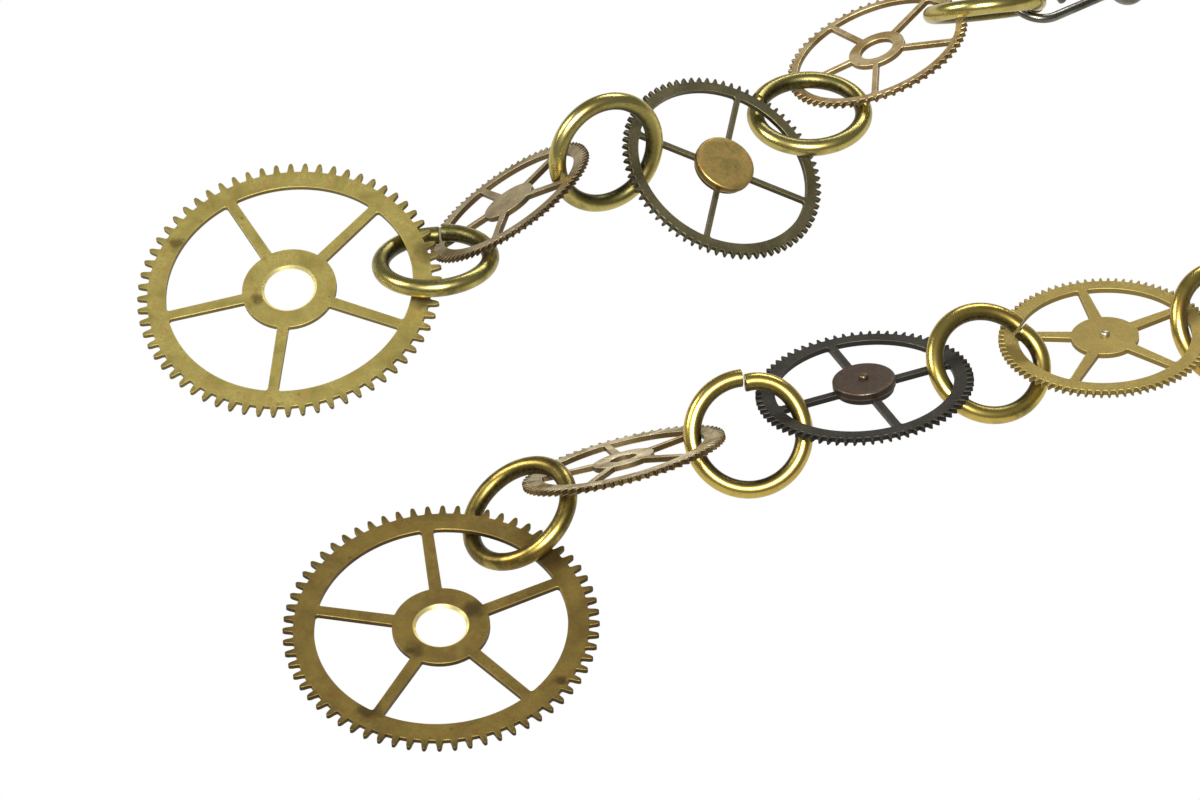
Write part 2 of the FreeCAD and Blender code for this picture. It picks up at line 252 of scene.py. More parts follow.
def windows(n, size):
    """One opening between two spokes, repeated all round."""
    last = window_points // 2 - 1
    step = n.math("DIVIDE", math.tau, size["Spokes"])
    at_rim = n.math("ARCSINE", n.math("DIVIDE", n.math("MULTIPLY", size["Spoke at Rim"], 0.5),
                                      size["Rim Inside"]))
    at_hub = n.math("ARCSINE", n.math("DIVIDE", n.math("MULTIPLY", size["Spoke at Hub"], 0.5),
                                      size["Hub Radius"]))
    index = n.add("GeometryNodeInputIndex")
    inner = n.math("GREATER_THAN", index, last + 0.5)
    along = n.math("MODULO", index, float(last + 1))
    share = n.math("DIVIDE", along, float(last))
    outer_angle = n.blend(share, at_rim, n.math("SUBTRACT", step, at_rim))
    inner_angle = n.blend(share, n.math("SUBTRACT", step, at_hub), at_hub)
    angle = n.blend(inner, outer_angle, inner_angle)
    radius = n.blend(inner, size["Rim Inside"], size["Hub Radius"])
    circle = n.add("GeometryNodeCurvePrimitiveCircle", {"Resolution": window_points, "Radius": 1.0})
    spot = n.point(n.math("MULTIPLY", radius, n.math("COSINE", angle)),
                   n.math("MULTIPLY", radius, n.math("SINE", angle)), 0.0)
    loop = n.add("GeometryNodeSetPosition", {"Geometry": circle, "Position": spot})
    at_corner = n.math("GREATER_THAN", n.math("ABSOLUTE", n.math("SUBTRACT", along, last / 2)),
                       last / 2 - 0.25)
    rounded = n.add("GeometryNodeFilletCurve",
                    {"Curve": loop, "Radius": n.math("MULTIPLY", at_corner, size["Corner"]),
                     "Limit Radius": True}, mode="POLY")
    n.wire(rounded.inputs["Count"], 6)
    turn = n.math("ADD", size["Spin"], n.math("MULTIPLY", n.add("GeometryNodeInputIndex"), step))
    spots = n.add("GeometryNodePoints", {"Count": size["Spokes"]})
    copies = n.add("GeometryNodeInstanceOnPoints", {
        "Points": spots, "Instance": rounded,
        "Rotation": n.add("FunctionNodeEulerToRotation", {0: n.point(0.0, 0.0, turn)})})
    return n.add("GeometryNodeRealizeInstances", {"Geometry": copies})


def toothed_wheel_tree():
    n = Nodes("toothed_wheel", "GeometryNodeTree", [
        ("Teeth", "Int", 64), ("Points per Tooth", "Int", 14), ("Tip Radius", "Float", 9.6),
        ("Root Radius", "Float", 9.0), ("Rim Inside", "Float", 7.7), ("Hub Radius", "Float", 3.0),
        ("Hole Radius", "Float", 1.5), ("Hole Chamfer", "Float", 0.1), ("Spokes", "Int", 5),
        ("Spoke at Hub", "Float", 0.8), ("Spoke at Rim", "Float", 0.7), ("Corner", "Float", 0.2),
        ("Spin", "Float", 0.0), ("Thickness", "Float", 0.36), ("Chamfer", "Float", 0.03),
        ("Metal", "Material", None)], [("Wheel", "Geometry")])
    size = n.start
    half = n.math("MULTIPLY", size["Thickness"], 0.5)
    hole = n.add("GeometryNodeCurvePrimitiveCircle", {"Resolution": 72,
                                                      "Radius": size["Hole Radius"]})
    has_hole = n.math("GREATER_THAN", size["Hole Radius"], 0.01)
    hole = n.add("GeometryNodeSwitch", {"Switch": has_hole, "True": hole})
    loops = [(toothed_outline(n, size), size["Chamfer"], -1.0),
             (windows(n, size), size["Chamfer"], 1.0), (hole, size["Hole Chamfer"], 1.0)]
    walls = n.add("GeometryNodeJoinGeometry")
    flat = n.add("GeometryNodeJoinGeometry")
    for curve, chamfer, inwards in loops:
        upright = n.add("GeometryNodeSetCurveNormal", {"Curve": curve}, mode="Z_UP")
        profile = open_profile(n, half, chamfer, inwards)
        wall = n.add("GeometryNodeCurveToMesh", {"Curve": upright, "Profile Curve": profile})
        n.wire(walls.inputs[0], wall)
        n.wire(flat.inputs[0], drawn_in(n, upright, chamfer, inwards))
    face = n.add("GeometryNodeFillCurve", {"Curve": flat})
    for height in (half, n.math("MULTIPLY", half, -1.0)):
        lifted = n.add("GeometryNodeTransform",
                       {"Geometry": face, "Translation": n.point(0.0, 0.0, height)})
        n.wire(walls.inputs[0], lifted)
    welded = n.add("GeometryNodeMergeByDistance", {"Geometry": walls, "Distance": 0.001})
    marked = n.add("GeometryNodeStoreNamedAttribute",
                   {"Geometry": welded, "Name": "place",
                    "Value": n.add("GeometryNodeInputPosition")},
                   data_type="FLOAT_VECTOR", domain="POINT")
    whole = n.add("GeometryNodeRealizeInstances", {"Geometry": marked})
    return n.finish(Wheel=n.add("GeometryNodeSetMaterial",
                                {"Geometry": whole, "Material": size["Metal"]}))


wheel_tree = toothed_wheel_tree()
print(len(wheel_tree.nodes), "nodes draw any of the wheels")

# %% [markdown]
# ## The jump ring as a rule
#
# A jump ring is one turn of round wire, cut straight through. Opening and closing it leaves its
# two ends a little out of line, so the wire climbs like one turn of a very flat spring. The tree
# bends a line into that turn and sweeps a circle along it. It also writes down, for each point,
# how far along the wire it is and which side of the wire it is on, because drawn wire is marked
# lengthwise.

# %% The ring's tree
bend_share = 0.14                # of the ring, the stretch that a bent-in end takes up


def jump_ring_tree():
    n = Nodes("jump_ring", "GeometryNodeTree", [
        ("Centre Radius", "Float", 3.45), ("Wire Radius", "Float", 0.55),
        ("Cut Heading", "Float", 0.0), ("Cut Width", "Float", 0.12), ("Offset", "Float", 0.1),
        ("Bend", "Float", 0.0), ("Points", "Int", 160),
        ("Metal", "Material", None)], [("Ring", "Geometry")])
    size = n.start
    circle = n.add("GeometryNodeCurvePrimitiveCircle",
                   {"Resolution": size["Points"], "Radius": 1.0})
    line = n.add("GeometryNodeSetSplineCyclic", {"Geometry": circle, "Cyclic": False})
    steps = n.math("SUBTRACT", size["Points"], 3.0)
    index = n.math("SUBTRACT", n.add("GeometryNodeInputIndex"), 1.0)
    even = n.math("DIVIDE", index, steps)
    # The first and last points sit close to their neighbours, to round the cut edge of the wire.
    near_end = n.math("DIVIDE", 0.03, n.math("MULTIPLY", size["Centre Radius"], math.tau))
    share = n.math("MINIMUM", n.math("MAXIMUM", even, n.math("MULTIPLY", near_end, -1.0)),
                   n.math("ADD", 1.0, near_end))
    gap = n.math("DIVIDE", size["Cut Width"], size["Centre Radius"])
    swept = n.math("SUBTRACT", math.tau, gap)
    first = n.math("ADD", size["Cut Heading"], n.math("MULTIPLY", gap, 0.5))
    angle = n.math("ADD", first, n.math("MULTIPLY", swept, share))
    rise = n.math("MULTIPLY", size["Offset"], n.math("SUBTRACT", share, 0.5))
    near_cut = n.math("DIVIDE", n.math("SUBTRACT", share, 1.0 - bend_share), bend_share, clamp=True)
    inwards = n.math("MULTIPLY", size["Bend"], n.math("POWER", near_cut, 2.0))
    radius = n.math("SUBTRACT", size["Centre Radius"], inwards)
    spot = n.point(n.math("MULTIPLY", radius, n.math("COSINE", angle)),
                   n.math("MULTIPLY", radius, n.math("SINE", angle)), rise)
    bent = n.add("GeometryNodeSetPosition", {"Geometry": line, "Position": spot})
    upright = n.add("GeometryNodeSetCurveNormal", {"Curve": bent}, mode="Z_UP")
    from_middle = n.math("ABSOLUTE", n.math("SUBTRACT", even, 0.5))
    at_end = n.math("GREATER_THAN", from_middle, 0.501)
    sized = n.add("GeometryNodeSetCurveRadius",
                  {"Curve": upright, "Radius": n.blend(at_end, 1.0, 0.9)})
    length = n.math("MULTIPLY", share, n.math("MULTIPLY", size["Centre Radius"], math.tau))
    along = n.add("GeometryNodeStoreNamedAttribute",
                  {"Geometry": sized, "Name": "along", "Value": length}, data_type="FLOAT")
    section = n.add("GeometryNodeCurvePrimitiveCircle",
                    {"Resolution": 36, "Radius": size["Wire Radius"]})
    around = n.add("GeometryNodeStoreNamedAttribute",
                   {"Geometry": section, "Name": "around",
                    "Value": n.add("GeometryNodeInputPosition")},
                   data_type="FLOAT_VECTOR")
    wire = n.add("GeometryNodeCurveToMesh",
                 {"Curve": along, "Profile Curve": around,
                  "Scale": n.add("GeometryNodeInputRadius"), "Fill Caps": True})
    stored = n.add("GeometryNodeInputNamedAttribute", {"Name": "around"}, data_type="FLOAT_VECTOR")
    side = n.add("ShaderNodeSeparateXYZ", {0: stored.outputs[0]})
    run = n.add("GeometryNodeInputNamedAttribute", {"Name": "along"}, data_type="FLOAT").outputs[0]
    marked = n.add("GeometryNodeStoreNamedAttribute",
                   {"Geometry": wire, "Name": "place",
                    "Value": n.point(run, side.outputs[0], side.outputs[1])},
                   data_type="FLOAT_VECTOR", domain="POINT")
    whole = n.add("GeometryNodeRealizeInstances", {"Geometry": marked})
    return n.finish(Ring=n.add("GeometryNodeSetMaterial",
                               {"Geometry": whole, "Material": size["Metal"]}))


ring_tree = jump_ring_tree()

# %% [markdown]
# ## From a tree to a plain mesh
#
# A tree runs as a modifier on a throwaway object. Its result is copied out as a plain mesh, with
# the doubles merged and the faces turned outwards, and then laid in place.

# %% Running a tree and showing a piece
def run_tree(tree, name, values):
    """The plain mesh that a Geometry Nodes tree makes with these values."""
    holder = bpy.data.objects.new(name, bpy.data.meshes.new(name))
    bpy.context.scene.collection.objects.link(holder)
    modifier = holder.modifiers.new("rule", "NODES")
    modifier.node_group = tree
    for item in tree.interface.items_tree:
        if item.item_type == "SOCKET" and item.in_out == "INPUT" and item.name in values:
            modifier[item.identifier] = values[item.name]
    evaluated = holder.evaluated_get(bpy.context.evaluated_depsgraph_get())
    mesh = bpy.data.meshes.new_from_object(evaluated)
    holder.modifiers.clear()
    bpy.data.objects.remove(holder)
    return mesh


def closed(mesh, crease=30):
    """Turns the faces outwards, smooths all but the creases, and counts the open edges."""
    work = bmesh.new()
    work.from_mesh(mesh)
    bmesh.ops.recalc_face_normals(work, faces=work.faces)
    open_edges = sum(1 for edge in work.edges if len(edge.link_faces) != 2)
    work.to_mesh(mesh)
    work.free()
    mesh.shade_smooth()
    mesh.set_sharp_from_angle(angle=math.radians(crease))
    return open_edges


def show(mesh, node, link, body, crease=30):
    """Lays a finished mesh in place of its CAD node and lets it move with its body."""
    open_edges = closed(mesh, crease)
    misfit = lay_in_place(mesh, node, link)
    piece = bpy.data.objects.new(node + "_metal", mesh)
    bpy.context.scene.collection.objects.link(piece)
    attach(piece, body)
    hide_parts(node)
    print(f"{piece.name}: {len(mesh.polygons)} faces, {open_edges} open edges, "
          f"size within {misfit:.3f} mm of the CAD node")
    return piece

# %% [markdown]
# ## Effects that several finishes share
#
# Old watch brass is never one colour. Lacquer and polish wear off in patches, the bare metal
# tarnishes, dirt stays between the teeth, and edges that rub on other links stay bright. Each
# effect is a small shader group that gives a mask or a height, and a finish mixes its own colours
# with it.

# %% Tarnish, specks, grain, worn edges and dirt as groups
def tarnish_group():
    """Soft-edged patches. Size is in patches per millimetre."""
    n = Nodes("tarnish_patches", "ShaderNodeTree", [
        ("Place", "Vector", None), ("Size", "Float", 0.4), ("Cover", "Float", 0.5),
        ("Softness", "Float", 0.1), ("Seed", "Float", 0.0)], [("Mask", "Float")])
    size = n.start
    noise = n.add("ShaderNodeTexNoise",
                  {"Vector": size["Place"], "W": size["Seed"], "Scale": size["Size"], "Detail": 6.0,
                   "Roughness": 0.62, "Distortion": 0.6}, noise_dimensions="4D")
    middle = n.math("SUBTRACT", 1.0, size["Cover"])
    mask = n.add("ShaderNodeMapRange",
                 {"Value": noise, "From Min": n.math("SUBTRACT", middle, size["Softness"]),
                  "From Max": n.math("ADD", middle, size["Softness"])},
                 interpolation_type="SMOOTHSTEP")
    return n.finish(Mask=mask)


def specks_group():
    """Small dark pits and spots."""
    n = Nodes("dark_specks", "ShaderNodeTree", [
        ("Place", "Vector", None), ("Size", "Float", 2.0), ("Amount", "Float", 0.3)],
        [("Mask", "Float")])
    size = n.start
    cells = n.add("ShaderNodeTexVoronoi", {"Vector": size["Place"], "Scale": size["Size"]})
    pick = n.add("ShaderNodeSeparateColor", {0: cells.outputs["Color"]})
    chosen = n.math("LESS_THAN", pick.outputs[0], size["Amount"])
    radius = n.math("MULTIPLY", pick.outputs[1], 0.3)
    dot = n.add("ShaderNodeMapRange", {"Value": cells.outputs["Distance"], "From Min": radius,
                                       "From Max": 0.0}, interpolation_type="SMOOTHSTEP")
    return n.finish(Mask=n.math("MULTIPLY", dot, chosen))


def grain_group():
    """Fine lines left by rolling, drawing or rubbing the metal, along the first axis."""
    n = Nodes("metal_grain", "ShaderNodeTree", [
        ("Place", "Vector", None), ("Lines", "Float", 9.0), ("Stretch", "Float", 0.06)],
        [("Height", "Float")])
    size = n.start
    pulled = n.vector("MULTIPLY", size["Place"], n.point(size["Stretch"], 1.0, 1.0))
    lines = n.add("ShaderNodeTexNoise", {"Vector": pulled, "Scale": size["Lines"], "Detail": 3.0})
    return n.finish(Height=lines)


def worn_edge_group():
    """1 where the surface turns a sharp corner within the given width."""
    n = Nodes("worn_edges", "ShaderNodeTree", [("Width", "Float", 0.00008)], [("Mask", "Float")])
    soft = n.add("ShaderNodeBevel", {"Radius": n.start["Width"]}, samples=4)
    here = n.add("ShaderNodeNewGeometry").outputs["Normal"]
    turned = n.add("ShaderNodeVectorMath", {0: soft, 1: here}, operation="DOT_PRODUCT")
    mask = n.add("ShaderNodeMapRange", {"Value": turned.outputs["Value"], "From Min": 0.995,
                                        "From Max": 0.86})
    return n.finish(Mask=mask)


def tooth_dirt_group():
    """Dirt in the teeth: nothing on the rim, more and more towards the tips and the gaps."""
    n = Nodes("dirt_in_teeth", "ShaderNodeTree", [
        ("Place", "Vector", None), ("Root Radius", "Float", 9.0), ("Tip Radius", "Float", 9.6)],
        [("Mask", "Float")])
    size = n.start
    flat = n.vector("MULTIPLY", size["Place"], n.point(1.0, 1.0, 0.0))
    radius = n.add("ShaderNodeVectorMath", {0: flat}, operation="LENGTH").outputs["Value"]
    noise = n.add("ShaderNodeTexNoise", {"Vector": size["Place"], "Scale": 1.1, "Detail": 3.0})
    wobble = n.math("MULTIPLY", n.math("SUBTRACT", noise, 0.5), 0.9)
    mask = n.add("ShaderNodeMapRange",
                 {"Value": n.math("ADD", radius, wobble),
                  "From Min": n.math("SUBTRACT", size["Root Radius"], 0.15),
                  "From Max": n.math("ADD", size["Tip Radius"], 0.1)})
    return n.finish(Mask=mask)


def spot_group():
    """A soft-edged dark spot: a real stain, also painted shade where a jump ring lies on a rim."""
    n = Nodes("stain_and_shade_spot", "ShaderNodeTree", [
        ("Place", "Vector", None), ("Centre", "Vector", None), ("Radius", "Float", 0.5)],
        [("Mask", "Float")])
    size = n.start
    noise = n.add("ShaderNodeTexNoise", {"Vector": size["Place"], "Scale": 1.6, "Detail": 3.0})
    wobble = n.math("MULTIPLY", n.math("SUBTRACT", noise, 0.5), 1.1)
    away = n.add("ShaderNodeVectorMath", {0: size["Place"], 1: size["Centre"]},
                 operation="DISTANCE").outputs["Value"]
    mask = n.add("ShaderNodeMapRange",
                 {"Value": n.math("ADD", away, wobble),
                  "From Min": n.math("MULTIPLY", size["Radius"], 1.6),
                  "From Max": n.math("MULTIPLY", size["Radius"], 0.3)},
                 interpolation_type="SMOOTHSTEP")
    return n.finish(Mask=mask)


tarnish = tarnish_group()
specks = specks_group()
grain = grain_group()
worn_edges = worn_edge_group()
tooth_dirt = tooth_dirt_group()
stain_and_shade_spot = spot_group()

# %% [markdown]
# ## The finish of a wheel
#
# Every wheel came from another watch, so each has its own metal: olive or yellow brass, pale or
# rose gilding, blackened steel. They all age the same way, so one recipe serves them with other
# colours: clean metal, broad tarnish, a second tint in smaller blotches, dark specks, dirt in the
# teeth, and bright edges. The hole in a big wheel has a polished mouth, because the arbor was
# pressed in there, and a painted highlight on it stands for the light from the table below that
# the hole's edge reflects.

# %% The wheel finish
def srgb(red, green, blue):
    """A colour as shown on a screen, from 0 to 255, as the linear colour a shader takes."""
    linear = [(v / 255 / 12.92) if v <= 10 else ((v / 255 + 0.055) / 1.055) ** 2.4
              for v in (red, green, blue)]
    return (*linear, 1.0)


def wheel_finish(name, clean, aged, tint, dirt, edge, rough=(0.3, 0.48), cover=0.5, tint_cover=0.4,
                 patch=0.35, seed=0.0, metal=0.9, dirty=0.7, root=9.0, tip=9.6, stains_and_ring_shade=(),
                 polished_glint_radius=0.0, edge_share=0.6, speck_share=0.7, wall=0.8):
    m = Finish(name)
    broad = m.group(tarnish, Place=m.place, Size=patch, Cover=cover, Softness=0.16, Seed=seed)
    small = m.group(tarnish, Place=m.place, Size=patch * 3.4, Cover=tint_cover, Softness=0.12,
                    Seed=seed + 7.0)
    fine = m.group(tarnish, Place=m.place, Size=5.0, Cover=0.5, Softness=0.25, Seed=seed + 3.0)
    dots = m.group(specks, Place=m.place, Size=1.6, Amount=0.22)
    lines = m.group(grain, Place=m.place, Lines=14.0, Stretch=0.05)
    colour = m.tint(broad, clean, aged)
    colour = m.tint(m.math("MULTIPLY", small, 0.7), colour, tint)
    colour = m.tint(m.math("MULTIPLY", fine, 0.4), colour, dirt)
    colour = m.tint(m.math("MULTIPLY", dots, speck_share), colour, dirt)
    bare = m.group(worn_edges)
    colour = m.tint(m.math("MULTIPLY", bare, edge_share), colour, edge)
    dirt_and_shade_mask = m.math("MULTIPLY", m.group(tooth_dirt, Place=m.place, Root_Radius=root, Tip_Radius=tip),
                   dirty)
    # Dark spots: real stains, and on the big wheels painted shade where a jump ring lies over the
    # rim. They and the dirt in the teeth are all mixed towards the dirt colour.
    for centre, radius in stains_and_ring_shade:
        mark = m.group(stain_and_shade_spot, Place=m.place, Centre=centre, Radius=radius)
        dirt_and_shade_mask = m.math("MAXIMUM", dirt_and_shade_mask, m.math("MULTIPLY", mark, 0.75))
    colour = m.tint(dirt_and_shade_mask, colour, dirt)
    # The cut edges of the sheet, where the height is small, are darkened towards the darkest
    # colour.
    height_over = m.math("ABSOLUTE", m.add("ShaderNodeSeparateXYZ", {0: m.place}).outputs[2])
    on_wall = m.math("LESS_THAN", height_over, 0.15)
    colour = m.tint(m.math("MULTIPLY", on_wall, wall), colour, dirt)
    roughness = m.blend(broad, rough[0], rough[1])
    roughness = m.blend(fine, roughness, rough[1] + 0.06)
    # Around the hole: a polished mouth with lower roughness, and a painted highlight that stands
    # for the light from the table below reflected in the hole's edge.
    if polished_glint_radius:
        flat = m.vector("MULTIPLY", m.place, (1.0, 1.0, 0.0))
        radius = m.add("ShaderNodeVectorMath", {0: flat}, operation="LENGTH").outputs["Value"]
        polished_glint = m.add("ShaderNodeMapRange", {"Value": radius, "From Min": polished_glint_radius + 0.02,
                                             "From Max": polished_glint_radius - 0.02})
        colour = m.tint(polished_glint, colour, srgb(255, 238, 160))
        roughness = m.blend(polished_glint, roughness, 0.3)
    height = m.math("ADD", m.math("MULTIPLY", lines, 0.5), m.math("MULTIPLY", fine, 0.35))
    height = m.math("SUBTRACT", height, m.math("MULTIPLY", dots, 0.8))
    bump = m.add("ShaderNodeBump", {"Height": height, "Distance": 0.00001, "Strength": 0.55})
    return m.close(Base_Color=colour, Roughness=roughness, Metallic=metal, Normal=bump)


# %% [markdown]
# ## The finish of the jump rings
#
# The rings are made of wire in "antique brass": the wire is darkened all over and then tumbled,
# which brings the gold back where it rubs. So the crest of the wire is bright and glossy and the
# hollows and the inner side stay olive and almost black. Fine lines run along the wire from the
# drawing die.

# %% The ring and ear wire finishes
def wire_finish(name, bright, warm, dark, seed, rough=(0.25, 0.4), cover=0.5, metal=1.0, inner=0.9):
    m = Finish(name)
    split = m.add("ShaderNodeSeparateXYZ", {0: m.place})
    patches = m.group(tarnish, Place=m.place, Size=0.45, Cover=cover, Softness=0.14, Seed=seed)
    warmth = m.group(tarnish, Place=m.place, Size=0.3, Cover=0.42, Softness=0.12, Seed=seed + 5.0)
    fine = m.group(tarnish, Place=m.place, Size=4.0, Cover=0.45, Softness=0.2, Seed=seed + 9.0)
    lines = m.group(grain, Place=m.place, Lines=16.0, Stretch=0.04)
    inward = m.add("ShaderNodeMapRange", {"Value": split.outputs[1], "From Min": 0.2,
                                          "From Max": -0.45})
    patina = m.math("MAXIMUM", m.math("MULTIPLY", patches, 0.75), m.math("MULTIPLY", inward, inner))
    patina = m.math("ADD", patina, m.math("MULTIPLY", fine, 0.14), clamp=True)
    colour = m.tint(m.math("MULTIPLY", warmth, 0.7), bright, warm)
    colour = m.tint(patina, colour, dark)
    roughness = m.blend(patina, rough[0], rough[1])
    height = m.math("ADD", m.math("MULTIPLY", lines, 0.6), m.math("MULTIPLY", fine, 0.3))
    bump = m.add("ShaderNodeBump", {"Height": height, "Distance": 0.000008, "Strength": 0.35})
    return m.close(Base_Color=colour, Roughness=roughness, Metallic=metal, Normal=bump)


ring_colours = {
    "front": (srgb(206, 182, 96), srgb(186, 136, 62), srgb(52, 45, 23)),
    "rear": (srgb(196, 182, 108), srgb(172, 144, 76), srgb(58, 54, 31)),
}
ear_wire_grey = wire_finish("ear_wire_grey", srgb(140, 136, 124), srgb(120, 112, 96),
                            srgb(62, 58, 50), 2.0, rough=(0.24, 0.4), inner=0.2)

# %% [markdown]
# ## The eight wheels
#
# The numbers below are what one would count and measure on the real wheels: teeth, spokes, and
# the rim, hub and hole as shares of the tip radius. The teeth of the big wheels are coarse, those
# of the small wheels are fine, so the small wheels take fewer points per tooth.

# %% Wheel sizes in millimetres and their finishes
sheet_thickness = 0.36
wheels = {
    "front_big_wheel": dict(across=19.2, teeth=64, tooth=0.68, rim=0.80, hub=0.31, hole=0.16,
                            spokes=5, at_hub=0.78, at_rim=0.72, corner=0.22, spin=25),
    "rear_big_wheel": dict(across=19.2, teeth=64, tooth=0.68, rim=0.81, hub=0.31, hole=0.165,
                           spokes=5, at_hub=0.72, at_rim=0.66, corner=0.22, spin=-25),
    "front_wheel_2": dict(across=12.8, teeth=70, tooth=0.70, rim=0.80, hub=0.30, hole=0.13,
                          spokes=5, at_hub=0.46, at_rim=0.38, corner=0.25, spin=34),
    "rear_wheel_2": dict(across=11.8, teeth=80, tooth=0.70, rim=0.83, hub=0.30, hole=0,
                         spokes=5, at_hub=0.5, at_rim=0.42, corner=0.35, spin=-23),
    "front_wheel_3": dict(across=13.5, teeth=75, tooth=0.72, rim=0.82, hub=0.27, hole=0,
                          spokes=4, at_hub=0.5, at_rim=0.5, corner=0.15, spin=21),
    "rear_wheel_3": dict(across=13.5, teeth=75, tooth=0.62, rim=0.85, hub=0.27, hole=0,
                         spokes=4, at_hub=0.34, at_rim=0.34, corner=0.15, spin=-9),
    "front_wheel_4": dict(across=13.2, teeth=84, tooth=0.72, rim=0.815, hub=0.32, hole=0,
                          spokes=5, at_hub=0.74, at_rim=0.56, corner=0.4, spin=31),
    "rear_wheel_4": dict(across=12.2, teeth=64, tooth=0.46, rim=0.885, hub=0.308, hole=0.18,
                         spokes=5, at_hub=0.36, at_rim=0.36, corner=0.4, spin=-19),
}
looks = {
    "front_big_wheel": dict(
        slot="olive_brass", clean=srgb(158, 134, 66), aged=srgb(120, 102, 52),
        tint=srgb(138, 98, 50), dirt=srgb(60, 47, 26), edge=srgb(172, 146, 82), seed=1.5,
        polished_glint_radius=1.71, patch=0.5, wall=0.85,
        # The big spot at (6.6, 5.7) is painted shade where the first jump ring lies over the rim;
        # the other spots are stains.
        stains_and_ring_shade=[((-4.2, -6.6, 0.2), 0.7), ((7.2, -4.6, 0.2), 0.35), ((1.9, 1.2, 0.2), 0.6),
                ((6.6, 5.7, 0.2), 1.3), ((-1.6, -1.9, 0.2), 0.5)]),
    "rear_big_wheel": dict(
        slot="yellow_brass", clean=srgb(208, 190, 108), aged=srgb(150, 138, 72),
        tint=srgb(190, 150, 86), dirt=srgb(92, 76, 40), edge=srgb(232, 214, 140), seed=4.2,
        polished_glint_radius=1.76, patch=0.5, dirty=0.55,
        # The spots at (8.6, -1.5) and (8.8, 2.2) are painted shade where the first jump ring lies
        # over the rim; the other spots are stains.
        stains_and_ring_shade=[((-2.1, -0.6, 0.2), 0.35), ((8.6, -1.5, 0.2), 0.8), ((8.8, 2.2, 0.2), 0.9),
                ((-7.2, 4.0, 0.2), 0.4)]),
    "front_wheel_2": dict(
        # The near-white cream of the clean patches is partly painted reflection: it stands for the
        # bright light that this steeply leaning wheel catches from behind.
        slot="rose_gilt", clean=srgb(255, 240, 196), aged=srgb(138, 116, 64),
        tint=srgb(172, 130, 68), dirt=srgb(82, 64, 32),
        edge=srgb(250, 234, 200), seed=2.7, patch=0.5, dirty=0.9, wall=0.9),
    "rear_wheel_2": dict(
        slot="taupe_gilt", clean=srgb(190, 172, 128), aged=srgb(142, 124, 84),
        tint=srgb(168, 134, 88), dirt=srgb(70, 56, 38),
        edge=srgb(206, 184, 150), seed=3.3, dirty=0.75),
    "front_wheel_3": dict(
        slot="blackened_steel", clean=srgb(70, 68, 60), aged=srgb(52, 50, 44),
        tint=srgb(74, 60, 48), dirt=srgb(36, 32, 28),
        edge=srgb(132, 124, 108), seed=5.1, metal=0.75, edge_share=0.35),
    "rear_wheel_3": dict(
        slot="dark_bronze", clean=srgb(104, 98, 68), aged=srgb(76, 72, 50), tint=srgb(102, 84, 50),
        dirt=srgb(48, 42, 26), edge=srgb(166, 154, 106), seed=6.4, metal=0.8),
    "front_wheel_4": dict(
        slot="pale_gilt", clean=srgb(160, 141, 76), aged=srgb(148, 130, 70),
        tint=srgb(160, 134, 76), dirt=srgb(118, 100, 52),
        edge=srgb(206, 188, 124), rough=(0.46, 0.56), seed=7.7, dirty=0.3,
        speck_share=0.3, metal=0.8),
    "rear_wheel_4": dict(
        slot="warm_gilt", clean=srgb(250, 226, 170), aged=srgb(172, 140, 84),
        tint=srgb(196, 146, 78), dirt=srgb(84, 66, 38),
        edge=srgb(240, 216, 160), seed=8.8, patch=0.5, dirty=0.5),
}


coarse_pitch = 0.8
coarse_cut = dict(points=18, hole_chamfer=0.16, chamfer=0.03)
fine_cut = dict(points=12, hole_chamfer=0.05, chamfer=0.02)


def make_wheel(node):
    size, look = wheels[node], dict(looks[node])
    tip = size["across"] / 2
    pitch = math.tau * tip / size["teeth"]
    root = tip - size["tooth"] * pitch
    cut = coarse_cut if pitch > coarse_pitch else fine_cut
    slot = look.pop("slot")
    metal = wheel_finish(node + "_finish", root=root, tip=tip, **look)
    mesh = run_tree(wheel_tree, node, {
        "Teeth": size["teeth"], "Points per Tooth": cut["points"], "Tip Radius": tip,
        "Root Radius": root, "Rim Inside": tip * size["rim"], "Hub Radius": tip * size["hub"],
        "Hole Radius": tip * size["hole"], "Hole Chamfer": cut["hole_chamfer"],
        "Spokes": size["spokes"], "Spoke at Hub": size["at_hub"], "Spoke at Rim": size["at_rim"],
        "Corner": size["corner"], "Spin": math.radians(size["spin"]), "Thickness": sheet_thickness,
        "Chamfer": cut["chamfer"], "Metal": metal})
    return show(mesh, node, node, node + "_body")


for node in wheels:
    make_wheel(node)

# %% [markdown]
# ## The eight jump rings
#
# All rings are 8 mm across, of 1.1 mm wire. They differ only in where they are cut, how wide the
# cut gapes, how far the two ends stand apart, how far the closing end is bent in, and how much of
# the dark patina is left.

